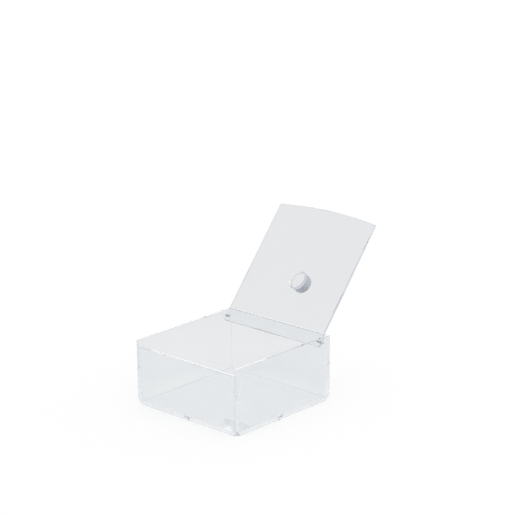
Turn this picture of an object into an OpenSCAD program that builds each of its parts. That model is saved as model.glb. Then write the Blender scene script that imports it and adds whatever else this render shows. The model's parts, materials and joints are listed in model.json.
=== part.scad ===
// Clear acrylic candy bin with a lid that swings on two pins.
// The bin stands on z = 0, centred on the origin, with its low front wall towards -Y.
// The lid is drawn open, leaning on the rim of the back wall.

/* [Bin] */
// Outside width of the bin, left to right
box_w = 120; // [90:1:200]
// Outside depth of the bin, front to back
box_d = 120; // [90:1:200]
// Height of the side walls and the back wall
box_h = 60; // [45:1:120]
// Thickness of the four wall panels
wall_t = 3; // [2.5:0.5:5]
// Thickness of the floor panel
floor_t = 3; // [2:0.5:5]
// Length ground off each of the three edges that meet at a bottom corner
corner_cut = 5; // [2:0.5:5.5]
// Bevel polished onto the open edges of every panel
edge_bevel = 0.4; // [0.2:0.1:0.8]

/* [Lid] */
// Thickness of the lid panel
lid_t = 3; // [2.6:0.2:5]
// Air between the lid and each side wall
lid_side_gap = 0.5; // [0.3:0.1:1]
// How far the lid's front corners reach past the front wall
lid_lip = 7; // [2:0.5:12]
// Rise of the lid's curved front edge over its corners
lip_rise = 3.5; // [1:0.5:8]
// Air between the back edge of the closed lid and the back wall
lid_tail_gap = 1.6; // [1.2:0.1:2.5]
// Air between the closed lid and the top of the front wall
lid_seat_gap = 0.1; // [0.05:0.05:0.3]
// Air between the open lid and the rim of the back wall
lid_stop_gap = 0.15; // [0.1:0.05:0.3]

/* [Hinge] */
// Diameter of the hinge pins
pin_d = 2; // [1.6:0.1:2]
// Depth of the hinge axis under the rim of the side walls
pin_drop = 5; // [4:0.5:8]
// Distance from the hinge axis to the inner face of the back wall
pin_setback = 6; // [5.5:0.5:9]
// Length of each pin that is held in the lid
pin_grip = 5; // [3:0.5:12]
// Empty end of the hole in the lid, past the end of the pin
pin_hole_relief = 0.5; // [0.2:0.1:1]
// How deep the outer end of a pin lies under the outer face of the side wall
pin_recess = 0.2; // [0.1:0.1:0.5]
// Bevel on both ends of a pin
pin_bevel = 0.25; // [0.1:0.05:0.4]
// Radial running clearance of a pin in the side wall
pin_play = 0.05; // [0.03:0.01:0.1]
// Radial interference that holds a pin in the lid
pin_press = 0.01; // [0.005:0.005:0.02]

/* [Knob] */
// Diameter of the knob
knob_d = 18; // [12:1:25]
// Height of the knob over the lid
knob_h = 12; // [6:0.5:16]
// Distance from the middle of the bin forward to the centre of the closed lid's knob
knob_forward = 0; // [-10:1:20]
// Radius of the rounded outer rim of the knob
knob_round = 1.2; // [0.5:0.1:2]
// Height of the short foot that is cemented to the lid
knob_foot_h = 0.8; // [0.4:0.1:1.5]
// How far the foot is turned in under the knob
knob_foot_in = 0.6; // [0.3:0.1:1.2]

/* [Hidden] */
$fn = 96;

axis_y = box_d / 2 - wall_t - pin_setback;
axis_z = box_h - pin_drop;
front_wall_h = axis_z - lid_t / 2 - lid_seat_gap;
inner_w = box_w - 2 * wall_t;
inner_d = box_d - 2 * wall_t;

lid_w = inner_w - 2 * lid_side_gap;
lid_tail = pin_setback - lid_tail_gap;
lid_reach = box_d / 2 + axis_y + lid_lip;
lip_radius = ((lid_w / 2) ^ 2 + lip_rise ^ 2) / (2 * lip_rise);

pin_r = pin_d / 2;
pin_len = wall_t - pin_recess + lid_side_gap + pin_grip;
knob_r = knob_d / 2;
round_steps = 8;

// Lean of the open lid over the level: it stops on the nearer edge of the beveled back rim.
stop_offset = lid_t / 2 + lid_stop_gap;
function lean_on(y, z) = atan2(z, y) + asin(stop_offset / norm([y, z]));
open_lean = max(
    lean_on(pin_setback, pin_drop - edge_bevel),
    lean_on(pin_setback + edge_bevel, pin_drop)
);
open_angle = 180 - open_lean;

acrylic = [0.90, 0.94, 0.95, 0.45];

// Outline of a panel's cross-section, a wide and b high, with its top corners beveled
module rim_section(a, b) {
    polygon([
        [0, 0], [a, 0], [a, b - edge_bevel],
        [a - edge_bevel, b], [edge_bevel, b], [0, b - edge_bevel]
    ]);
}

// Outline of a panel a wide and b long, centred, with all four corners beveled
module beveled_section(a, b) {
    x = a / 2;
    y = b / 2;
    e = edge_bevel;
    polygon([
        [e - x, -y], [x - e, -y], [x, e - y], [x, y - e],
        [x - e, y], [e - x, y], [-x, y - e], [-x, e - y]
    ]);
}

// The corner that is ground off where the edges at the origin run along +X, +Y and +Z
module corner_waste() {
    size = 2 * corner_cut;
    rotate([0, acos(1 / sqrt(3)), 45])
        translate([-size / 2, -size / 2, corner_cut / sqrt(3) - size])
            cube(size);
}

// All four ground-off bottom corners of the bin
module bottom_corners() {
    for (right = [0, 1], back = [0, 1]) {
        translate([(right - 0.5) * box_w, (back - 0.5) * box_d, 0])
            mirror([right, 0, 0])
                mirror([0, back, 0])
                    corner_waste();
    }
}

module floor_panel() {
    color(acrylic)
        difference() {
            translate([-inner_w / 2, -inner_d / 2, 0])
                cube([inner_w, inner_d, floor_t]);
            bottom_corners();
        }
}

// A wall between the two side walls, h high, with its outer face at y = -box_d / 2
module cross_wall(h) {
    difference() {
        translate([inner_w / 2, -box_d / 2, 0])
            rotate([90, 0, -90])
                mirror([1, 0, 0])
                    linear_extrude(inner_w)
                        rim_section(wall_t, h);
        bottom_corners();
    }
}

module front_wall() {
    color(acrylic)
        cross_wall(front_wall_h);
}

module back_wall() {
    color(acrylic)
        mirror([0, 1, 0])
            cross_wall(box_h);
}

// The left side wall: its outer upright edges and its rim are beveled, and it is drilled for a pin
module side_wall() {
    difference() {
        intersection() {
            translate([-box_w / 2, box_d / 2, 0])
                rotate([90, 0, 0])
                    linear_extrude(box_d)
                        rim_section(wall_t, box_h);
            translate([-box_w / 2 + wall_t / 2, 0, 0])
                linear_extrude(box_h)
                    beveled_section(wall_t, box_d);
        }
        translate([-box_w / 2 - 1, axis_y, axis_z])
            rotate([0, 90, 0])
                cylinder(r = pin_r + pin_play, h = wall_t + 2);
        bottom_corners();
    }
}

module left_wall() {
    color(acrylic)
        side_wall();
}

module right_wall() {
    color(acrylic)
        mirror([1, 0, 0])
            side_wall();
}

// Places what is drawn about the hinge axis, closed and with the lid towards -Y, on the open lid
module on_open_lid() {
    translate([0, axis_y, axis_z])
        rotate([-open_angle, 0, 0])
            children();
}

// A disc as thick as the lid, with the bevel and the radius of its curved front edge
module lip_disc() {
    r = lip_radius;
    e = edge_bevel;
    rotate_extrude($fn = 360)
        polygon([
            [0, -lid_t / 2], [r - e, -lid_t / 2], [r, e - lid_t / 2],
            [r, lid_t / 2 - e], [r - e, lid_t / 2], [0, lid_t / 2]
        ]);
}

// The blind hole in the left edge of the lid, which grips a pin
module pin_hole() {
    translate([-lid_w / 2 - 1, 0, 0])
        rotate([0, 90, 0])
            cylinder(r = pin_r - pin_press, h = pin_grip + pin_hole_relief + 1);
}

module lid_panel() {
    front = lid_reach + lip_rise;
    color(acrylic)
        on_open_lid()
            difference() {
                intersection() {
                    translate([0, lid_tail, 0])
                        rotate([90, 0, 0])
                            linear_extrude(front + lid_tail)
                                beveled_section(lid_w, lid_t);
                    translate([lid_w / 2, lid_tail - front, 0])
                        rotate([90, 0, -90])
                            linear_extrude(lid_w)
                                beveled_section(2 * front, lid_t);
                    translate([0, lip_radius - front, 0])
                        lip_disc();
                }
                pin_hole();
                mirror([1, 0, 0])
                    pin_hole();
            }
}

// The knob's half-outline: a turned-in foot, a straight grip and a rounded outer rim
function knob_outline() = concat(
    [[0, 0], [knob_r - knob_foot_in, 0], [knob_r - knob_foot_in, knob_foot_h], [knob_r, knob_foot_h]],
    [
        for (i = [0:round_steps])
            let (a = 90 * i / round_steps)
                [knob_r - knob_round + knob_round * cos(a), knob_h - knob_round + knob_round * sin(a)]
    ],
    [[0, knob_h]]
);

module lid_knob() {
    color(acrylic)
        on_open_lid()
            translate([0, -axis_y - knob_forward, lid_t / 2])
                rotate_extrude()
                    polygon(knob_outline());
}

// The left pin, from its recessed outer end into the edge of the lid
module hinge_pin() {
    translate([-box_w / 2 + pin_recess, axis_y, axis_z])
        rotate([0, 90, 0])
            rotate_extrude()
                polygon([
                    [0, 0], [pin_r - pin_bevel, 0], [pin_r, pin_bevel],
                    [pin_r, pin_len - pin_bevel], [pin_r - pin_bevel, pin_len], [0, pin_len]
                ]);
}

module left_hinge_pin() {
    color(acrylic)
        hinge_pin();
}

module right_hinge_pin() {
    color(acrylic)
        mirror([1, 0, 0])
            hinge_pin();
}

floor_panel();
front_wall();
back_wall();
left_wall();
right_wall();
lid_panel();
lid_knob();
left_hinge_pin();
right_hinge_pin();
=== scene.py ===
"""Looks of the clear candy bin: cut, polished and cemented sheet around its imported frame."""

import json
import logging
import math
from dataclasses import dataclass
from enum import Enum

import bmesh
import bpy
from mathutils import Matrix, Vector


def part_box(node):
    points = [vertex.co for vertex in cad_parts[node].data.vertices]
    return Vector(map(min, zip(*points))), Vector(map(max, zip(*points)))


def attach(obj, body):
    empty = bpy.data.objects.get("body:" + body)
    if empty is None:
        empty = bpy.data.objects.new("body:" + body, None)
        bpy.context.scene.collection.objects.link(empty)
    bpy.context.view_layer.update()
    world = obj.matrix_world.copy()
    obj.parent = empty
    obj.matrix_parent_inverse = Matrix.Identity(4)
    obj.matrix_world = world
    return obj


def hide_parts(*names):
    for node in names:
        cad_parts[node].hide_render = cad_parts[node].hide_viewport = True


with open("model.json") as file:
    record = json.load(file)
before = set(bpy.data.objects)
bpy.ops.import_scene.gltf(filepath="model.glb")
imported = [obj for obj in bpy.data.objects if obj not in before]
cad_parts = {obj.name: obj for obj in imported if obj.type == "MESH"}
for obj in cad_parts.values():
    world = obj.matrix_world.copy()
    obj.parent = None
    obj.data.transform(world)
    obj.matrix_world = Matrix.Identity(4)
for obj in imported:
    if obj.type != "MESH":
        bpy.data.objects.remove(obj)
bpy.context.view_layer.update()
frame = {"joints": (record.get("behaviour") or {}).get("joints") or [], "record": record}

logging.basicConfig(level=logging.INFO, format="%(message)s")
log = logging.getLogger("candy_bin")

BMesh = bmesh.types.BMesh
BMVert = bmesh.types.BMVert
BMEdge = bmesh.types.BMEdge
BMFace = bmesh.types.BMFace
Material = bpy.types.Material
Socket = bpy.types.NodeSocket
Colour = tuple[float, float, float]
Range = tuple[float, float]

MM = 0.001
WHITE: Colour = (1.0, 1.0, 1.0)
ACRYLIC_IOR = 1.49
CEMENT_IOR = 1.02

# Points that are closer than this are merged.
WELD = 0.001 * MM
# How close to a cutting plane a point counts as on it.
ON_PLANE = 0.0001 * MM
# How far a drill sticks out of what it cuts.
DRILL_OUT = 1.0 * MM
# The least part of a unit normal along an axis where its face counts as square to the axis.
SQUARE = 0.9


class Body(Enum):
    """The rigid bodies of the frame."""

    BOX = "box"
    LID = "lid"


class Slot(Enum):
    """The material slots of the record."""

    CLEAR = "clear_acrylic"


class Surface(Enum):
    """How a face of the clear sheet was left by the maker, as its material index."""

    FACE = 0
    EDGE = 1
    JOINT = 2
    GROUND = 3
    # The knob's side and the pins, whose dark tint is painted shade.
    TURNED_PAINTED_SHADE = 4


class Way(Enum):
    """The ways that a panel's edges face, as an axis and a sign."""

    LEFT = (0, -1)
    RIGHT = (0, 1)
    FRONT = (1, -1)
    BACK = (1, 1)
    UP = (2, 1)


class NodeTree:
    """A thin helper that adds and joins shader nodes.

    Args:
        tree: The node tree of a material, a world or a group.
    """

    # The sockets that a Mix node of colours reads and writes.
    MIX_INPUTS = (0, 6, 7)
    MIX_OUTPUT = 2

    def __init__(self, tree: bpy.types.NodeTree) -> None:
        self.tree = tree

    def add(self, kind: str, **values: object) -> bpy.types.Node:
        """Adds a node.

        Args:
            kind: The node's type without its ShaderNode prefix, or a full type name.
            **values: Attributes of the node.

        Returns:
            The new node.
        """
        name = kind if kind.startswith("Node") else "ShaderNode" + kind
        node = self.tree.nodes.new(name)
        for key, value in values.items():
            setattr(node, key, value)
        return node

    def link(self, source: Socket, target: Socket) -> None:
        """Joins an output to an input."""
        self.tree.links.new(source, target)

    def feed(self, node: bpy.types.Node, name: str | int, value: object) -> None:
        """Sets an input to a plain value, or joins it to an output.

        Args:
            node: The node whose input is set.
            name: The input's name or index.
            value: A number, a tuple or an output socket.
        """
        if isinstance(value, Socket):
            self.link(value, node.inputs[name])
        else:
            node.inputs[name].default_value = value

    def math(self, operation: str, *values: object) -> Socket:
        """Adds a Math node.

        Args:
            operation: What it does.
            *values: Its inputs, as numbers or outputs.

        Returns:
            Its output.
        """
        node = self.add("Math", operation=operation)
        for index, value in enumerate(values):
            self.feed(node, index, value)
        return node.outputs["Value"]

    def ramp(
        self, value: object, low: float, high: float, to_low: float = 0.0, to_high: float = 1.0
    ) -> Socket:
        """Maps a value smoothly from one range to another.

        Args:
            value: The number or output to map.
            low: The value that gives to_low.
            high: The value that gives to_high.
            to_low: The result at and below low.
            to_high: The result at and above high.

        Returns:
            The mapped output.
        """
        node = self.add("MapRange", interpolation_type="SMOOTHSTEP")
        limits = {"From Min": low, "From Max": high, "To Min": to_low, "To Max": to_high}
        for name, limit in limits.items():
            self.feed(node, name, limit)
        self.feed(node, "Value", value)
        return node.outputs["Result"]

    def noise(self, vector: object, scale: float, detail: float = 2.0) -> Socket:
        """Adds noise on a vector.

        Args:
            vector: The vector.
            scale: How fine it is.
            detail: How many finer layers lie over it.

        Returns:
            The noise's output.
        """
        node = self.add("TexNoise")
        self.feed(node, "Vector", vector)
        self.feed(node, "Scale", scale)
        self.feed(node, "Detail", detail)
        return node.outputs["Fac"]

    def specks(self, vector: object, scale: float, reach: Range) -> Socket:
        """Adds round specks on a vector.

        Args:
            vector: The vector.
            scale: How many specks there are to a metre.
            reach: How far from its middle a speck starts and ends to fade, as shares of a cell.

        Returns:
            A mask that is 1 inside the specks.
        """
        node = self.add("TexVoronoi")
        self.feed(node, "Vector", vector)
        self.feed(node, "Scale", scale)
        return self.ramp(node.outputs["Distance"], *reach, 1.0, 0.0)

    def mix(self, factor: object, first: object, second: object) -> Socket:
        """Mixes two colours.

        Args:
            factor: The share of the second.
            first: The first.
            second: The second.

        Returns:
            The mixed colour's output.
        """
        node = self.add("Mix", data_type="RGBA")
        for index, value in zip(self.MIX_INPUTS, (factor, first, second)):
            self.feed(node, index, value)
        return node.outputs[self.MIX_OUTPUT]

    def mix_shaders(self, factor: object, first: object, second: object) -> Socket:
        """Mixes two shaders.

        Args:
            factor: The share of the second.
            first: The first.
            second: The second.

        Returns:
            The mixed shader's output.
        """
        node = self.add("MixShader")
        for index, value in enumerate((factor, first, second)):
            self.feed(node, index, value)
        return node.outputs["Shader"]


class EffectGroup:
    """A node group that several finishes share.

    Args:
        name: The group's name.
        inputs: Input names with their socket types.
        outputs: Output names with their socket types.
    """

    def __init__(self, name: str, inputs: dict[str, str], outputs: dict[str, str]) -> None:
        self.group = bpy.data.node_groups.new(name, "ShaderNodeTree")
        for way, sockets in (("INPUT", inputs), ("OUTPUT", outputs)):
            for label, kind in sockets.items():
                self.group.interface.new_socket(label, in_out=way, socket_type=kind)
        self.nodes = NodeTree(self.group)
        self.source = self.nodes.add("NodeGroupInput")
        self.sink = self.nodes.add("NodeGroupOutput")

    def read(self, label: str) -> Socket:
        """Returns the socket inside the group that carries an input."""
        return self.source.outputs[label]

    def write(self, label: str, value: Socket) -> None:
        """Joins a value to an output of the group."""
        self.nodes.link(value, self.sink.inputs[label])

    def place(self, nodes: NodeTree, **values: object) -> bpy.types.Node:
        """Places the group in a material.

        Args:
            nodes: The material's nodes.
            **values: A value for each input.

        Returns:
            The group node.
        """
        node = nodes.add("Group", node_tree=self.group)
        for label, value in values.items():
            nodes.feed(node, label, value)
        return node


@dataclass(frozen=True)
class HandlingMarks:
    """Hairline scratches, faint smears and specks of dust, as on sheet that is wiped and handled.

    Attributes:
        hairlines: The two sets of scratches, each as its turn in radians and its fineness.
        turn_shares: How much of that turn is about each axis.
        drawn_out: The scale of a scratch along each axis, which is small where it is long.
        hairline_detail: The detail of the scratches' noise.
        hairline_range: Where that noise starts to show, and where it is full.
        patch_scale: The fineness of the patches that are scratched.
        patch_range: Where their noise starts to show, and where it is full.
        smear_scale: The fineness of the smears.
        smear_detail: The detail of their noise.
        smear_range: Where it starts to show, and where it is full.
        dust_scale: How many specks of dust there are to a metre.
        dust_reach: How far from its middle a speck starts and ends to fade.
    """

    hairlines: tuple[tuple[float, float], tuple[float, float]] = ((0.5, 2400.0), (-0.9, 1900.0))
    turn_shares: tuple[float, float, float] = (1.0, 0.7, 1.3)
    drawn_out: tuple[float, float, float] = (1.0, 0.03, 0.03)
    hairline_detail: float = 1.0
    hairline_range: Range = (0.70, 0.74)
    patch_scale: float = 40.0
    patch_range: Range = (0.52, 0.64)
    smear_scale: float = 26.0
    smear_detail: float = 4.0
    smear_range: Range = (0.54, 0.74)
    dust_scale: float = 420.0
    dust_reach: Range = (0.05, 0.09)

    def build(self) -> EffectGroup:
        """Builds the group.

        Returns:
            The group, which puts out a height and a mask of wear from 0 to 1.
        """
        inputs = {"Vector": "NodeSocketVector"}
        inputs.update({label: "NodeSocketFloat" for label in ("Scratches", "Smears", "Dust")})
        outputs = {"Mask": "NodeSocketFloat", "Height": "NodeSocketFloat"}
        group = EffectGroup("handling_marks", inputs, outputs)
        nodes = group.nodes
        vector = group.read("Vector")
        scratches = nodes.math("MULTIPLY", self.scratched(nodes, vector), group.read("Scratches"))
        smear = nodes.ramp(nodes.noise(vector, self.smear_scale, self.smear_detail), *self.smear_range)
        smears = nodes.math("MULTIPLY", smear, group.read("Smears"))
        speck = nodes.specks(vector, self.dust_scale, self.dust_reach)
        dust = nodes.math("MULTIPLY", speck, group.read("Dust"))
        worn = nodes.math("MAXIMUM", nodes.math("MAXIMUM", scratches, smears), dust)
        group.write("Mask", worn)
        group.write("Height", nodes.math("SUBTRACT", dust, scratches))
        return group

    def scratched(self, nodes: NodeTree, vector: Socket) -> Socket:
        """Draws the hairlines, in patches.

        Args:
            nodes: The group's nodes.
            vector: Its vector.

        Returns:
            A mask that is 1 on the hairlines.
        """
        lines = []
        for turn, fineness in self.hairlines:
            mapping = nodes.add("Mapping")
            nodes.feed(mapping, "Vector", vector)
            nodes.feed(mapping, "Rotation", tuple(turn * share for share in self.turn_shares))
            nodes.feed(mapping, "Scale", self.drawn_out)
            fine = nodes.noise(mapping.outputs["Vector"], fineness, self.hairline_detail)
            lines.append(nodes.ramp(fine, *self.hairline_range))
        patches = nodes.ramp(nodes.noise(vector, self.patch_scale), *self.patch_range)
        return nodes.math("MULTIPLY", nodes.math("MAXIMUM", *lines), patches)


@dataclass(frozen=True)
class CementBubbles:
    """Tiny bubbles and cloudy patches in a cemented joint.

    Attributes:
        bubble_scale: How many bubbles there are to a metre.
        bubble_reach: How far from its middle a bubble starts and ends to fade.
        patch_scale: The fineness of the patches that hold bubbles.
        patch_detail: The detail of their noise.
        patch_range: Where it starts to show, and where it is full.
        cloud_scale: The fineness of the cloudy patches.
        cloud_range: Where their noise starts to show, and where it is full.
        cloud_depth: How strong they get.
    """

    bubble_scale: float = 900.0
    bubble_reach: Range = (0.16, 0.26)
    patch_scale: float = 120.0
    patch_detail: float = 3.0
    patch_range: Range = (0.5, 0.62)
    cloud_scale: float = 60.0
    cloud_range: Range = (0.5, 0.75)
    cloud_depth: float = 0.4

    def build(self) -> EffectGroup:
        """Builds the group.

        Returns:
            The group, which puts out a mask from 0 to 1.
        """
        inputs = {"Vector": "NodeSocketVector", "Amount": "NodeSocketFloat"}
        group = EffectGroup("cement_bubbles", inputs, {"Mask": "NodeSocketFloat"})
        nodes = group.nodes
        vector = group.read("Vector")
        bubble = nodes.specks(vector, self.bubble_scale, self.bubble_reach)
        patch = nodes.ramp(nodes.noise(vector, self.patch_scale, self.patch_detail), *self.patch_range)
        cloud = nodes.ramp(nodes.noise(vector, self.cloud_scale), *self.cloud_range, 0.0, self.cloud_depth)
        both = nodes.math("MAXIMUM", nodes.math("MULTIPLY", bubble, patch), cloud)
        group.write("Mask", nodes.math("MULTIPLY", both, group.read("Amount")))
        return group


def opaque(colour: Colour) -> tuple[float, float, float, float]:
    """Gives a colour a full alpha."""
    return (*colour, 1.0)


@dataclass(frozen=True)
class Acrylic:
    """A finish of clear cast acrylic.

    Attributes:
        name: The material's name.
        tint: What one panel lets through, as linear red, green and blue.
        cloudy_tint: The tint where the surface is marked.
        smooth: Roughness of the clean surface.
        marked: Roughness where it is marked.
        marks: How much of the handling marks it shows.
        bubbles: How many bubbles it shows.
        bump: Height of the marks, in metres.
        clear: How much of the light it lets through, where the rest is scattered.
        ior: How strongly it bends light. Cement between two sheets hardly bends it.
        lamp_tint: What lamps send through it.
        smear_share: How strong its smears are beside its scratches.
        dust_share: How strong its dust is beside its scratches.
        bump_strength: How strongly its marks tilt the surface.
    """

    name: str
    tint: Colour
    cloudy_tint: Colour
    smooth: float
    marked: float
    marks: float = 0.5
    bubbles: float = 0.0
    bump: float = 0.01 * MM
    clear: float = 1.0
    ior: float = ACRYLIC_IOR
    lamp_tint: Colour = (0.90, 0.92, 0.93)
    smear_share: float = 0.8
    dust_share: float = 0.6
    bump_strength: float = 0.25

    def make(self, wear: EffectGroup, bubbling: EffectGroup) -> Material:
        """Builds the material.

        Args:
            wear: The handling marks.
            bubbling: The bubbles of a joint.

        Returns:
            The material.
        """
        material = bpy.data.materials.new(self.name)
        material.use_nodes = True
        material.node_tree.nodes.clear()
        nodes = NodeTree(material.node_tree)
        place = nodes.add("TexCoord").outputs["Object"]
        marks = wear.place(
            nodes,
            Vector=place,
            Scratches=self.marks,
            Smears=self.marks * self.smear_share,
            Dust=self.marks * self.dust_share,
        )
        joint = bubbling.place(nodes, Vector=place, Amount=self.bubbles)
        mask = nodes.math("MAXIMUM", marks.outputs["Mask"], joint.outputs["Mask"])
        bump = nodes.add("Bump")
        nodes.feed(bump, "Height", marks.outputs["Height"])
        nodes.feed(bump, "Strength", self.bump_strength)
        nodes.feed(bump, "Distance", self.bump)
        glass = nodes.add("BsdfPrincipled")
        nodes.feed(glass, "Base Color", nodes.mix(mask, opaque(self.tint), opaque(self.cloudy_tint)))
        nodes.feed(glass, "Roughness", nodes.ramp(mask, 0.0, 1.0, self.smooth, self.marked))
        nodes.feed(glass, "Metallic", 0.0)
        nodes.feed(glass, "Transmission Weight", self.clear)
        nodes.feed(glass, "IOR", self.ior)
        nodes.feed(glass, "Normal", bump.outputs["Normal"])
        through = nodes.add("BsdfTransparent")
        nodes.feed(through, "Color", opaque(self.lamp_tint))
        from_lamp = nodes.add("LightPath").outputs["Is Shadow Ray"]
        shader = nodes.mix_shaders(from_lamp, glass.outputs["BSDF"], through.outputs["BSDF"])
        nodes.feed(nodes.add("OutputMaterial"), "Surface", shader)
        return material


@dataclass(frozen=True)
class Finishes:
    """The finishes of the clear pieces.

    Attributes:
        face: The cast face of the sheet.
        edge: A cut edge, polished by flame.
        joint: A cemented edge, and the patch that it covers on its neighbour.
        ground: A corner that was ground off and left frosted.
        turned: The turned side of the knob and the hinge pins, tinted dark grey as painted shade for the
            knob's dark side.
    """

    face: Acrylic = Acrylic(
        name="cast_face",
        tint=(0.955, 0.965, 0.97),
        cloudy_tint=(0.93, 0.94, 0.95),
        smooth=0.0,
        marked=0.12,
    )
    edge: Acrylic = Acrylic(
        name="polished_edge",
        tint=(0.89, 0.905, 0.935),
        cloudy_tint=(0.84, 0.86, 0.89),
        smooth=0.03,
        marked=0.25,
        marks=0.6,
        bump=0.02 * MM,
    )
    joint: Acrylic = Acrylic(
        name="cemented_edge",
        tint=(0.99, 0.992, 0.995),
        cloudy_tint=(0.86, 0.88, 0.90),
        smooth=0.0,
        marked=0.35,
        marks=0.0,
        bubbles=0.9,
        ior=CEMENT_IOR,
    )
    ground: Acrylic = Acrylic(
        name="ground_corner",
        tint=(0.995, 0.995, 0.995),
        cloudy_tint=(0.97, 0.975, 0.98),
        smooth=0.9,
        marked=1.0,
        marks=0.2,
        clear=0.7,
    )
    # Painted shade: this dark grey tint stands for the shade in the knob's turned side, and the pins share
    # it.
    turned: Acrylic = Acrylic(
        name="turned_side_painted_shade",
        tint=(0.54, 0.56, 0.62),
        cloudy_tint=(0.50, 0.52, 0.58),
        smooth=0.05,
        marked=0.25,
        marks=0.6,
        bump=0.02 * MM,
    )

    def make(self) -> list[Material]:
        """Builds the materials.

        Returns:
            The materials, in the order of Surface.
        """
        wear = HandlingMarks().build()
        bubbling = CementBubbles().build()
        ordered = (self.face, self.edge, self.joint, self.ground, self.turned)
        return [finish.make(wear, bubbling) for finish in ordered]


def add_object(name: str, shape: BMesh) -> bpy.types.Object:
    """Puts a shape into the scene.

    Args:
        name: The name of the object and its mesh.
        shape: The bmesh, which is freed.

    Returns:
        The new object.
    """
    mesh = bpy.data.meshes.new(name)
    shape.to_mesh(mesh)
    shape.free()
    ob = bpy.data.objects.new(name, mesh)
    bpy.context.scene.collection.objects.link(ob)
    return ob


class Piece:
    """A finished piece that stands for one node of the frame.

    Args:
        name: The piece's name.
        node: The node that it replaces.
        body: The body that it rides on.
        shape: The bmesh of its shape, in the frame's own place.
        materials: Its materials, in the order of Surface.
    """

    def __init__(
        self, name: str, node: str, body: Body, shape: BMesh, materials: list[Material]
    ) -> None:
        bmesh.ops.remove_doubles(shape, verts=shape.verts, dist=WELD)
        bmesh.ops.recalc_face_normals(shape, faces=shape.faces)
        self.ob = add_object(name, shape)
        for material in materials:
            self.ob.data.materials.append(material)
        self.node = node
        self.body = body

    def drill(self, cutter: BMesh) -> None:
        """Cuts holes into the piece.

        Args:
            cutter: The closed shapes that are taken away.
        """
        bmesh.ops.recalc_face_normals(cutter, faces=cutter.faces)
        drill = add_object("drill", cutter)
        for material in self.ob.data.materials:
            drill.data.materials.append(material)
        cut = self.ob.modifiers.new("drill", "BOOLEAN")
        cut.operation = "DIFFERENCE"
        cut.solver = "EXACT"
        cut.object = drill
        graph = bpy.context.evaluated_depsgraph_get()
        cut_mesh = bpy.data.meshes.new_from_object(self.ob.evaluated_get(graph))
        self.ob.modifiers.clear()
        self.ob.data = cut_mesh
        cut_mesh.name = self.ob.name
        bpy.data.objects.remove(drill)

    def smooth(
        self, below_deg: float = 20.0, plain_area: float = 12 * MM**2, one_face_deg: float = 0.05
    ) -> None:
        """Shades the piece smooth where it is round, and leaves its plain faces flat.

        Args:
            below_deg: The angle that an edge is smooth under.
            plain_area: The area that a plain face has at least.
            one_face_deg: The angle under which two faces of one finish become one.
        """
        shape = bmesh.new()
        shape.from_mesh(self.ob.data)
        bmesh.ops.dissolve_limit(
            shape,
            angle_limit=math.radians(one_face_deg),
            verts=shape.verts,
            edges=shape.edges,
            delimit={"MATERIAL"},
        )
        for face in shape.faces:
            face.smooth = face.calc_area() < plain_area
        for edge in shape.edges:
            plain = any(not face.smooth for face in edge.link_faces)
            edge.smooth = not plain and edge.calc_face_angle(math.pi) < math.radians(below_deg)
        shape.to_mesh(self.ob.data)
        shape.free()

    def hand_over(self) -> None:
        """Puts the piece on its body in place of its node, and reports it."""
        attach(self.ob, self.body.value)
        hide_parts(self.node)
        faces = len(self.ob.data.polygons)
        log.info("%s stands for %s on %s, %d faces", self.ob.name, self.node, self.body.value, faces)


def rod(start: Vector, axis: Vector, length: float, radius: float, sides: int) -> BMesh:
    """Makes a straight rod.

    Args:
        start: The middle of its first end.
        axis: A unit vector along it.
        length: Its length.
        radius: Its radius.
        sides: How many sides it has.

    Returns:
        The rod's bmesh.
    """
    shape = bmesh.new()
    turn = axis.to_track_quat("Z", "Y").to_matrix().to_4x4()
    place = Matrix.Translation(start + axis * length / 2) @ turn
    bmesh.ops.create_cone(
        shape, cap_ends=True, segments=sides, radius1=radius, radius2=radius, depth=length, matrix=place
    )
    return shape


def block(low: Vector, high: Vector) -> BMesh:
    """Makes a plain block between two corners.

    Args:
        low: Its lowest corner.
        high: Its highest corner.

    Returns:
        The block's bmesh.
    """
    shape = bmesh.new()
    place = Matrix.Translation((low + high) / 2) @ Matrix.Diagonal(high - low).to_4x4()
    bmesh.ops.create_cube(shape, size=1.0, matrix=place)
    return shape


def finish_faces(shape: BMesh, surface: Surface) -> None:
    """Gives all faces of a shape one finish."""
    for face in shape.faces:
        face.material_index = surface.value


def ease(shape: BMesh, edges: list[BMEdge], width: float, steps: int = 2) -> None:
    """Rounds a few edges of a shape.

    Args:
        shape: The shape.
        edges: The edges that are rounded.
        width: How far the rounding reaches from the edge.
        steps: How many faces it has.
    """
    made = bmesh.ops.bevel(
        shape,
        geom=edges,
        offset=width,
        offset_type="OFFSET",
        segments=steps,
        profile=0.5,
        affect="EDGES",
        material=-1,
        clamp_overlap=True,
    )
    for face in made["faces"]:
        face.material_index = Surface.EDGE.value


def split(shape: BMesh, point: Vector, normal: Vector, clear: bool = False) -> list[BMEdge]:
    """Cuts the faces of a shape along a plane.

    Args:
        shape: The shape.
        point: A point of the plane.
        normal: The plane's normal.
        clear: Whether what lies behind the plane is taken away.

    Returns:
        The edges along the cut.
    """
    everything = list(shape.verts) + list(shape.edges) + list(shape.faces)
    made = bmesh.ops.bisect_plane(
        shape, geom=everything, dist=ON_PLANE, plane_co=point, plane_no=normal, clear_inner=clear
    )
    return [part for part in made["geom_cut"] if isinstance(part, BMEdge)]


def facing(normal: Vector) -> tuple[int, int]:
    """Says which way a normal faces, as its main axis and a sign."""
    axis = max(range(3), key=lambda i: abs(normal[i]))
    return axis, 1 if normal[axis] > 0 else -1


def corners_of(node: str) -> tuple[Vector, Vector]:
    """The lowest and highest corners of a node at rest."""
    low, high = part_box(node)
    return Vector(low), Vector(high)


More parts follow.
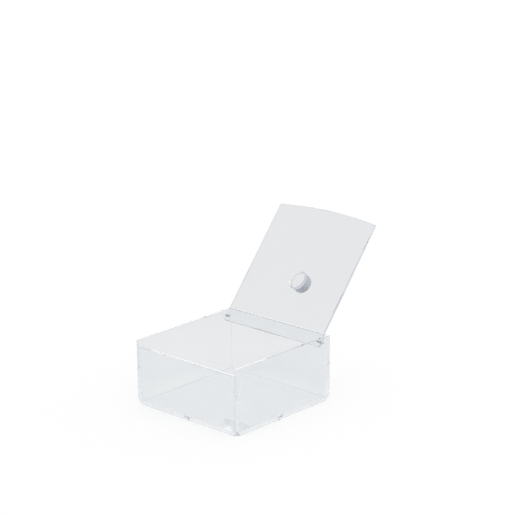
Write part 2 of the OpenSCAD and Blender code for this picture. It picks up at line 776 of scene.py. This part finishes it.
def bin_corners() -> tuple[Vector, Vector]:
    """Measures the bin alone, without its lid.

    Returns:
        Its lowest and highest corners.
    """
    boxes = [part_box(node) for node in frame["record"]["behaviour"]["bodies"][Body.BOX.value]]
    low = Vector([min(box[0][i] for box in boxes) for i in range(3)])
    high = Vector([max(box[1][i] for box in boxes) for i in range(3)])
    return low, high


def hinge_axis() -> Vector:
    """A point on the lid's hinge axis, in the middle of the bin."""
    return Vector(frame["joints"][0]["pos_m"])


@dataclass
class Sheet:
    """A flat panel of the bin, cut from clear sheet.

    Attributes:
        node: The node that it stands for.
        thin_axis: The axis that its thickness runs along, from 0 to 2.
        cemented: The ways that its cemented edges face.
        open_edges: The ways that its open edges face.
        edge_bevel: How far the polished open edges are eased.
        corner_cut: The length ground off each edge at a bottom corner of the bin.
        bond: How far a cemented edge sinks into its neighbour.
    """

    node: str
    thin_axis: int
    cemented: tuple[Way, ...]
    open_edges: tuple[Way, ...]
    edge_bevel: float = 0.12 * MM
    corner_cut: float = 5.0 * MM
    bond: float = 0.02 * MM

    def build(self, neighbours: list[str]) -> BMesh:
        """Cuts the panel to size, eases its open edges and grinds off the bin's bottom corners.

        Args:
            neighbours: The nodes of the other panels.

        Returns:
            The panel's bmesh.
        """
        low, high = corners_of(self.node)
        for way in self.cemented:
            axis, sign = way.value
            (high if sign > 0 else low)[axis] += sign * self.bond
        shape = block(low, high)
        for face in shape.faces:
            face.material_index = self.surface_of(face.normal).value
        ease(shape, [edge for edge in shape.edges if self.is_open(edge)], self.edge_bevel)
        for node in neighbours:
            self.seat(shape, node)
        self.grind(shape)
        return shape

    def seat(self, shape: BMesh, neighbour: str) -> None:
        """Marks where a neighbour's edge is cemented to a face of the sheet.

        Args:
            shape: The panel's bmesh.
            neighbour: The neighbour's node.
        """
        low, high = corners_of(self.node)
        near, far = corners_of(neighbour)
        across = [axis for axis in range(3) if axis != self.thin_axis]
        for axis in across:
            for place in (near[axis], far[axis]):
                if low[axis] + self.bond < place < high[axis] - self.bond:
                    normal, point = Vector(), Vector()
                    normal[axis] = 1.0
                    point[axis] = place
                    split(shape, point, normal)
        for face in shape.faces:
            middle = face.calc_center_median()
            covered = all(near[i] - self.bond < middle[i] < far[i] + self.bond for i in range(3))
            if covered and abs(face.normal[self.thin_axis]) > SQUARE:
                face.material_index = Surface.JOINT.value

    def surface_of(self, normal: Vector) -> Surface:
        """Says how a face of the block is finished.

        Args:
            normal: The face's normal.

        Returns:
            Its finish.
        """
        way = facing(normal)
        if way[0] == self.thin_axis:
            return Surface.FACE
        is_cemented = way in [edge.value for edge in self.cemented]
        return Surface.JOINT if is_cemented else Surface.EDGE

    def is_open(self, edge: BMEdge) -> bool:
        """Finds the sharp lines that are eased.

        Args:
            edge: An edge of the block.

        Returns:
            Whether it lies between a face of the sheet and one of its open edges.
        """
        ways = [facing(face.normal) for face in edge.link_faces]
        has_face = any(axis == self.thin_axis for axis, _ in ways)
        return has_face and any(open_edge.value in ways for open_edge in self.open_edges)

    def grind(self, shape: BMesh) -> None:
        """Cuts the bin's four bottom corners off the panel, and closes the cuts.

        Args:
            shape: The panel's bmesh.
        """
        low, high = bin_corners()
        for x, inward_x in ((low.x, 1), (high.x, -1)):
            for y, inward_y in ((low.y, 1), (high.y, -1)):
                normal = Vector((inward_x, inward_y, 1)).normalized()
                point = Vector((x + inward_x * self.corner_cut, y, 0.0))
                if all((vert.co - point).dot(normal) >= 0 for vert in shape.verts):
                    continue
                rim = split(shape, point, normal, clear=True)
                filled = bmesh.ops.contextual_create(shape, geom=rim)
                for face in filled["faces"]:
                    face.material_index = Surface.GROUND.value


@dataclass
class Bin:
    """The five cemented panels of the bin.

    Attributes:
        bore_radius: The radius of the side walls' bores.
        sides: How many sides a bore has.
        stop_bevel: How far the rim that the open lid leans on is eased, as in the frame.
    """

    bore_radius: float = 1.05 * MM
    sides: int = 64
    stop_bevel: float = 0.4 * MM

    def sheets(self) -> dict[str, Sheet]:
        """Lists the panels.

        Returns:
            The panels by the names of their pieces.
        """
        ends = (Way.LEFT, Way.RIGHT)
        fronts = (Way.FRONT, Way.BACK)
        return {
            "floor_sheet": Sheet("floor_panel", 2, (*ends, *fronts), ()),
            "front_sheet": Sheet("front_wall", 1, ends, (Way.UP,)),
            "back_sheet": Sheet("back_wall", 1, ends, (Way.UP,), edge_bevel=self.stop_bevel),
            "left_sheet": Sheet("left_wall", 0, (), (*fronts, Way.UP)),
            "right_sheet": Sheet("right_wall", 0, (), (*fronts, Way.UP)),
        }

    def build(self, materials: list[Material]) -> None:
        """Builds and dresses the panels.

        Args:
            materials: The clear finishes, in the order of Surface.
        """
        sheets = self.sheets()
        for name, sheet in sheets.items():
            neighbours = [other.node for other in sheets.values() if other is not sheet]
            piece = Piece(name, sheet.node, Body.BOX, sheet.build(neighbours), materials)
            if sheet.thin_axis == 0:
                piece.drill(self.bore(sheet.node))
            piece.smooth()
            piece.hand_over()

    def bore(self, node: str) -> BMesh:
        """Makes the drill of the hinge bore through a side wall.

        Args:
            node: The wall's node.

        Returns:
            The drill's bmesh.
        """
        low, high = corners_of(node)
        start = hinge_axis()
        start.x = low.x - DRILL_OUT
        length = high.x - low.x + 2 * DRILL_OUT
        drill = rod(start, Vector((1, 0, 0)), length, self.bore_radius, self.sides)
        finish_faces(drill, Surface.EDGE)
        return drill


@dataclass
class Lid:
    """The swinging lid: its panel, its knob and its two hinge pins.

    Attributes:
        thickness: The panel's thickness.
        lip: How far its front corners reach past the front wall when it is closed.
        lip_rise: The rise of the curved front edge over its corners.
        lip_steps: How many faces the curved edge has.
        tail: How far the panel reaches behind the hinge axis.
        edge_round: How far its edges are rounded by the flame.
        edge_steps: How many faces that rounding has.
        hole_radius: The radius of the holes that grip the pins.
        hole_depth: The depth of those holes.
        knob_radius: The radius of the knob.
        knob_height: The height of the knob.
        knob_round: The radius of the knob's outer rim.
        knob_round_steps: How many faces that rim has.
        knob_side_slope: The most that the normal of the knob's turned side rises.
        foot_height: The height of the knob's turned-in foot.
        foot_in: How far the foot is turned in.
        bond: How far the knob sinks into the panel.
        seat: How far the panel is cut away under the knob, so that only the cement parts the two.
        pin_radius: The radius of a hinge pin.
        pin_bevel: The bevel on a pin's ends.
        sides: How many sides the knob, the pins and their holes have.
    """

    thickness: float = 3.0 * MM
    lip: float = 7.0 * MM
    lip_rise: float = 3.5 * MM
    lip_steps: int = 48
    tail: float = 4.4 * MM
    edge_round: float = 0.7 * MM
    edge_steps: int = 3
    hole_radius: float = 0.99 * MM
    hole_depth: float = 5.5 * MM
    knob_radius: float = 9.0 * MM
    knob_height: float = 12.0 * MM
    knob_round: float = 1.2 * MM
    knob_round_steps: int = 8
    knob_side_slope: float = 0.3
    foot_height: float = 0.8 * MM
    foot_in: float = 0.6 * MM
    bond: float = 0.05 * MM
    seat: float = 0.04 * MM
    pin_radius: float = 1.0 * MM
    pin_bevel: float = 0.25 * MM
    sides: int = 96

    def open_turn(self) -> Matrix:
        """Places what is drawn about the hinge axis, closed, on the open lid."""
        angle = math.radians(max(frame["joints"][0]["range_deg"]))
        return Matrix.Translation(hinge_axis()) @ Matrix.Rotation(-angle, 4, "X")

    def build(self, materials: list[Material]) -> None:
        """Builds and dresses the lid's pieces.

        Args:
            materials: The clear finishes, in the order of Surface.
        """
        panel = Piece("lid_sheet", "lid_panel", Body.LID, self.panel(), materials)
        panel.drill(self.holes())
        knob = Piece("lid_knob_turned", "lid_knob", Body.LID, self.knob(), materials)
        pieces = [panel, knob]
        for side in ("left", "right"):
            node = side + "_hinge_pin"
            pieces.append(Piece(side + "_pin_rod", node, Body.LID, self.pin(node), materials))
        for piece in pieces:
            piece.smooth()
            piece.hand_over()

    def ends(self) -> tuple[float, float]:
        """Where the lid's left and right ends are."""
        low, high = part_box("lid_panel")
        return low[0], high[0]

    def reach(self) -> float:
        """The distance from the hinge axis to the middle of the curved front edge."""
        front_wall = bin_corners()[0].y
        return hinge_axis().y - front_wall + self.lip + self.lip_rise

    def panel(self) -> BMesh:
        """Cuts the lid panel with its curved front edge, and rounds its edges.

        The one behind the hinge is left as it was sawn.

        Returns:
            The panel's bmesh.
        """
        left, right = self.ends()
        half = (right - left) / 2
        radius = (half**2 + self.lip_rise**2) / (2 * self.lip_rise)
        middle = radius - self.reach()
        spread = math.asin(half / radius)
        bottom = -self.thickness / 2
        outline = [Vector((left, self.tail, bottom)), Vector((right, self.tail, bottom))]
        for i in range(self.lip_steps + 1):
            turn = spread * (1 - 2 * i / self.lip_steps)
            outline.append(Vector((radius * math.sin(turn), middle - radius * math.cos(turn), bottom)))
        shape = bmesh.new()
        floor = shape.faces.new([shape.verts.new(point) for point in outline])
        grown = bmesh.ops.extrude_face_region(shape, geom=[floor])
        top = [part for part in grown["geom"] if isinstance(part, BMVert)]
        bmesh.ops.translate(shape, verts=top, vec=(0, 0, self.thickness))
        bmesh.ops.recalc_face_normals(shape, faces=shape.faces)
        finish_faces(shape, Surface.EDGE)
        flat = [face for face in shape.faces if abs(face.normal.z) > SQUARE]
        for face in flat:
            face.material_index = Surface.FACE.value
        rims = [edge for edge in shape.edges if any(face in flat for face in edge.link_faces)]
        polished = [edge for edge in rims if any(abs(v.co.y - self.tail) > WELD for v in edge.verts)]
        ease(shape, polished, self.edge_round, self.edge_steps)
        bmesh.ops.transform(shape, matrix=self.open_turn(), verts=shape.verts)
        return shape

    def holes(self) -> BMesh:
        """Makes the drills of the blind holes for the pins and of the knob's seat.

        Returns:
            The bmesh of all the drills.
        """
        drills = []
        for end, way in zip(self.ends(), (1, -1)):
            start = hinge_axis()
            start.x = end - way * DRILL_OUT
            length = self.hole_depth + DRILL_OUT
            hole = rod(start, Vector((way, 0, 0)), length, self.hole_radius, self.sides)
            finish_faces(hole, Surface.EDGE)
            drills.append(hole)
        outward = self.open_turn().to_3x3() @ Vector((0, 0, 1))
        start = self.knob_place() @ Vector((0, 0, -self.seat))
        foot = rod(start, outward, DRILL_OUT, self.knob_radius - self.foot_in, self.sides)
        finish_faces(foot, Surface.JOINT)
        drills.append(foot)
        every = bmesh.new()
        for drill in drills:
            mesh = bpy.data.meshes.new("drill")
            drill.to_mesh(mesh)
            drill.free()
            every.from_mesh(mesh)
            bpy.data.meshes.remove(mesh)
        return every

    def knob_place(self) -> Matrix:
        """Places the knob, drawn upright at the origin, on the outer face of the open lid."""
        return self.open_turn() @ Matrix.Translation((0, -hinge_axis().y, self.thickness / 2))

    def knob(self) -> BMesh:
        """Turns the knob from its half-outline.

        Returns:
            The knob's bmesh.
        """
        foot = self.knob_radius - self.foot_in
        outline = [
            (0.0, -self.bond),
            (foot, -self.bond),
            (foot, self.foot_height),
            (self.knob_radius, self.foot_height),
        ]
        inner = self.knob_radius - self.knob_round
        side_top = self.knob_height - self.knob_round
        for i in range(self.knob_round_steps + 1):
            turn = math.pi / 2 * i / self.knob_round_steps
            out = inner + self.knob_round * math.cos(turn)
            outline.append((out, side_top + self.knob_round * math.sin(turn)))
        outline.append((0.0, self.knob_height))
        shape = bmesh.new()
        points = [shape.verts.new((x, 0, z)) for x, z in outline]
        line = [shape.edges.new(pair) for pair in zip(points, points[1:])]
        bmesh.ops.spin(
            shape,
            geom=points + line,
            cent=(0, 0, 0),
            axis=(0, 0, 1),
            dvec=(0, 0, 0),
            angle=2 * math.pi,
            steps=self.sides,
            use_merge=True,
            use_duplicate=False,
        )
        bmesh.ops.remove_doubles(shape, verts=shape.verts, dist=WELD)
        for face in shape.faces:
            face.material_index = self.knob_surface(face).value
        bmesh.ops.transform(shape, matrix=self.knob_place(), verts=shape.verts)
        return shape

    def knob_surface(self, face: BMFace) -> Surface:
        """Says how a face of the upright knob is finished.

        Args:
            face: The face.

        Returns:
            Its finish.
        """
        if face.calc_center_median().z < 0:
            return Surface.JOINT
        slope = abs(face.normal.z)
        if slope < self.knob_side_slope:
            return Surface.TURNED_PAINTED_SHADE
        return Surface.FACE if slope > SQUARE else Surface.EDGE

    def pin(self, node: str) -> BMesh:
        """Makes a hinge pin with beveled ends.

        Args:
            node: The pin's node.

        Returns:
            The pin's bmesh.
        """
        low, high = corners_of(node)
        start = hinge_axis()
        start.x = low.x
        shape = rod(start, Vector((1, 0, 0)), high.x - low.x, self.pin_radius, self.sides)
        caps = [face for face in shape.faces if len(face.verts) == self.sides]
        rims = [edge for edge in shape.edges if any(face in caps for face in edge.link_faces)]
        ease(shape, rims, self.pin_bevel)
        finish_faces(shape, Surface.TURNED_PAINTED_SHADE)
        return shape


@dataclass(frozen=True)
class Lamp:
    """A soft square lamp that faces the bin.

    Attributes:
        name: Its name.
        place: Where it hangs.
        size: The length of its sides.
        power: Its power in watts.
        mirrored: Whether polished faces show it.
    """

    name: str
    place: tuple[float, float, float]
    size: float
    power: float
    mirrored: bool = False

    def hang(self) -> None:
        """Hangs the lamp in the scene."""
        data = bpy.data.lights.new(self.name, "AREA")
        data.shape = "SQUARE"
        data.size = self.size
        data.energy = self.power
        lamp = bpy.data.objects.new(self.name, data)
        lamp.location = self.place
        lamp.rotation_euler = Vector(self.place).to_track_quat("Z", "Y").to_euler()
        lamp.visible_camera = False
        lamp.visible_transmission = False
        lamp.visible_glossy = self.mirrored
        bpy.context.scene.collection.objects.link(lamp)


@dataclass
class Studio:
    """The pale floor, the lamps, the backdrop and the camera.

    Attributes:
        floor_radius: The radius of the floor.
        floor_sides: How many sides the floor has.
        floor_drop: How far the floor lies under the bin, so that no two faces share a plane.
        floor_colour: The colour of the floor.
        floor_through_sheet: The shade of the floor behind clear sheet, away from the bin, where the
            painted light under it has faded.
        painted_light_under_bin: That shade under the bin, painted lighter as a pool of light round the
            bin.
        painted_light_reach: Where that painted light starts and ends to fade, from the bin's middle.
        shadow_share: How much of the floor's shading the camera sees beside the bin.
        shadow_reach: Where that share starts and ends to fade, from the middle of the bin.
        backdrop_level: The shade of the backdrop at eye level, in clear sheet.
        backdrop_above: Its shade overhead.
        backdrop_rise: The heights on a unit sphere between which the one turns into the other.
        backdrop_light: The light that it gives to matt surfaces.
        azimuth_deg: The camera's turn round the bin, from the front towards the right.
        elevation_deg: Its height as an angle.
        roll_deg: Its lean.
        distance: Its distance from the bin.
        aim_right: How far it is moved to its right.
        aim_up: How far it is moved up.
        focal_px: Its focal length in pixels of the picture.
        picture_px: The picture's width in pixels.
        sensor_mm: The sensor's width.
        clip_start: The distance that it starts to see at.
        bounces: How often light may turn inside the sheet.
        lamps: The lamps.
    """

    floor_radius: float = 6.0
    floor_sides: int = 96
    floor_drop: float = 0.1 * MM
    floor_colour: Colour = (0.9, 0.9, 0.9)
    floor_through_sheet: Colour = (0.84, 0.845, 0.855)
    painted_light_under_bin: Colour = (0.93, 0.93, 0.935)
    painted_light_reach: Range = (0.06, 0.10)
    shadow_share: float = 0.25
    shadow_reach: Range = (0.08, 0.25)
    backdrop_level: Colour = (0.92, 0.925, 0.935)
    backdrop_above: Colour = (0.52, 0.53, 0.56)
    backdrop_rise: Range = (0.3, 0.9)
    backdrop_light: Colour = (0.7, 0.7, 0.7)
    azimuth_deg: float = 42.57
    elevation_deg: float = 16.56
    roll_deg: float = -0.37
    distance: float = 1.62572
    aim_right: float = 0.02032
    aim_up: float = 0.12783
    focal_px: float = 1834.63
    picture_px: float = 514.0
    sensor_mm: float = 36.0
    clip_start: float = 0.01
    bounces: int = 64
    lamps: tuple[Lamp, ...] = (
        Lamp("key_lamp", (0.2, 0.4, 2.1), size=1.2, power=14.0),
        Lamp("fill_lamp", (1.5, -0.9, 1.3), size=1.0, power=7.0),
        Lamp("rear_lamp", (-1.3, 1.41, 0.57), size=1.6, power=7.2, mirrored=True),
    )

    def build(self) -> None:
        """Sets up the floor, the backdrop, the lamps, the camera and the light's path."""
        self.floor()
        self.backdrop()
        for lamp in self.lamps:
            lamp.hang()
        self.camera()
        scene = bpy.context.scene
        scene.view_settings.view_transform = "Standard"
        scene.cycles.max_bounces = self.bounces
        scene.cycles.glossy_bounces = self.bounces
        scene.cycles.transmission_bounces = self.bounces

    def seen_directly(self, nodes: NodeTree) -> Socket:
        """Tells the rays that show the backdrop: from the camera, a mirror or glass.

        Args:
            nodes: The nodes of a material or a world.

        Returns:
            An output that is 1 for these rays, and 0 for the others.
        """
        path = nodes.add("LightPath")
        seen = nodes.math("MAXIMUM", path.outputs["Is Camera Ray"], path.outputs["Is Glossy Ray"])
        return nodes.math("MAXIMUM", seen, path.outputs["Is Transmission Ray"])

    def floor(self) -> None:
        """Lays the pale floor under the bin."""
        shape = bmesh.new()
        bmesh.ops.create_circle(shape, cap_ends=True, segments=self.floor_sides, radius=self.floor_radius)
        bmesh.ops.translate(shape, verts=shape.verts, vec=(0, 0, -self.floor_drop))
        floor = add_object("studio_floor", shape)
        floor.data.materials.append(self.floor_material())

    def floor_material(self) -> Material:
        """Builds the floor's material: matt, its shadow seen softly, and in glass a shade with painted
        light, lighter under the bin and darker away from it.

        Returns:
            The material.
        """
        material = bpy.data.materials.new("pale_floor")
        material.use_nodes = True
        material.node_tree.nodes.clear()
        nodes = NodeTree(material.node_tree)
        matt = nodes.add("BsdfDiffuse")
        nodes.feed(matt, "Color", opaque(self.floor_colour))
        away = nodes.add("VectorMath", operation="LENGTH")
        nodes.feed(away, 0, nodes.add("TexCoord").outputs["Object"])
        # Painted light: in glass the floor's glow is lighter under the bin and darker away from it.
        far = nodes.ramp(away.outputs["Value"], *self.painted_light_reach)
        behind = nodes.mix(far, opaque(self.painted_light_under_bin), opaque(self.floor_through_sheet))
        from_camera = nodes.add("LightPath").outputs["Is Camera Ray"]
        glow = nodes.add("Emission")
        nodes.feed(glow, "Color", nodes.mix(from_camera, behind, opaque(WHITE)))
        lit = nodes.ramp(away.outputs["Value"], *self.shadow_reach, 1.0 - self.shadow_share, 1.0)
        shown = nodes.math("MULTIPLY", self.seen_directly(nodes), lit)
        shader = nodes.mix_shaders(shown, matt.outputs["BSDF"], glow.outputs["Emission"])
        nodes.feed(nodes.add("OutputMaterial"), "Surface", shader)
        return material

    def backdrop(self) -> None:
        """Surrounds the bin with a white backdrop that darkens overhead in clear sheet."""
        world = bpy.data.worlds.new("studio")
        bpy.context.scene.world = world
        world.use_nodes = True
        world.node_tree.nodes.clear()
        nodes = NodeTree(world.node_tree)
        split_axes = nodes.add("SeparateXYZ")
        nodes.feed(split_axes, "Vector", nodes.add("TexCoord").outputs["Generated"])
        height = nodes.ramp(split_axes.outputs["Z"], *self.backdrop_rise)
        around = nodes.mix(height, opaque(self.backdrop_level), opaque(self.backdrop_above))
        from_camera = nodes.add("LightPath").outputs["Is Camera Ray"]
        shown = nodes.mix(from_camera, around, opaque(WHITE))
        back = nodes.add("Background")
        nodes.feed(back, "Color", nodes.mix(self.seen_directly(nodes), opaque(self.backdrop_light), shown))
        nodes.feed(back, "Strength", 1.0)
        nodes.feed(nodes.add("OutputWorld"), "Surface", back.outputs["Background"])

    def camera(self) -> None:
        """Stands the camera where the photograph was taken from."""
        azimuth = math.radians(self.azimuth_deg)
        height = math.radians(self.elevation_deg)
        roll = math.radians(self.roll_deg)
        back = Vector((
            math.sin(azimuth) * math.cos(height),
            -math.cos(azimuth) * math.cos(height),
            math.sin(height),
        ))
        level = Vector((math.cos(azimuth), math.sin(azimuth), 0.0))
        upright = back.cross(level)
        right = level * math.cos(roll) + upright * math.sin(roll)
        up = upright * math.cos(roll) - level * math.sin(roll)
        eye = right * self.aim_right + up * self.aim_up + back * self.distance
        data = bpy.data.cameras.new("camera")
        data.sensor_fit = "HORIZONTAL"
        data.sensor_width = self.sensor_mm
        data.lens = self.focal_px * self.sensor_mm / self.picture_px
        data.clip_start = self.clip_start
        camera = bpy.data.objects.new("camera", data)
        turn = Matrix((right, up, back)).transposed().to_4x4()
        camera.matrix_world = Matrix.Translation(eye) @ turn
        bpy.context.scene.collection.objects.link(camera)
        bpy.context.scene.camera = camera


def main() -> None:
    """Builds the studio, the bin and the lid in order."""
    Studio().build()
    materials = Finishes().make()
    Bin().build(materials)
    Lid().build(materials)


if __name__ == "__main__":
    main()
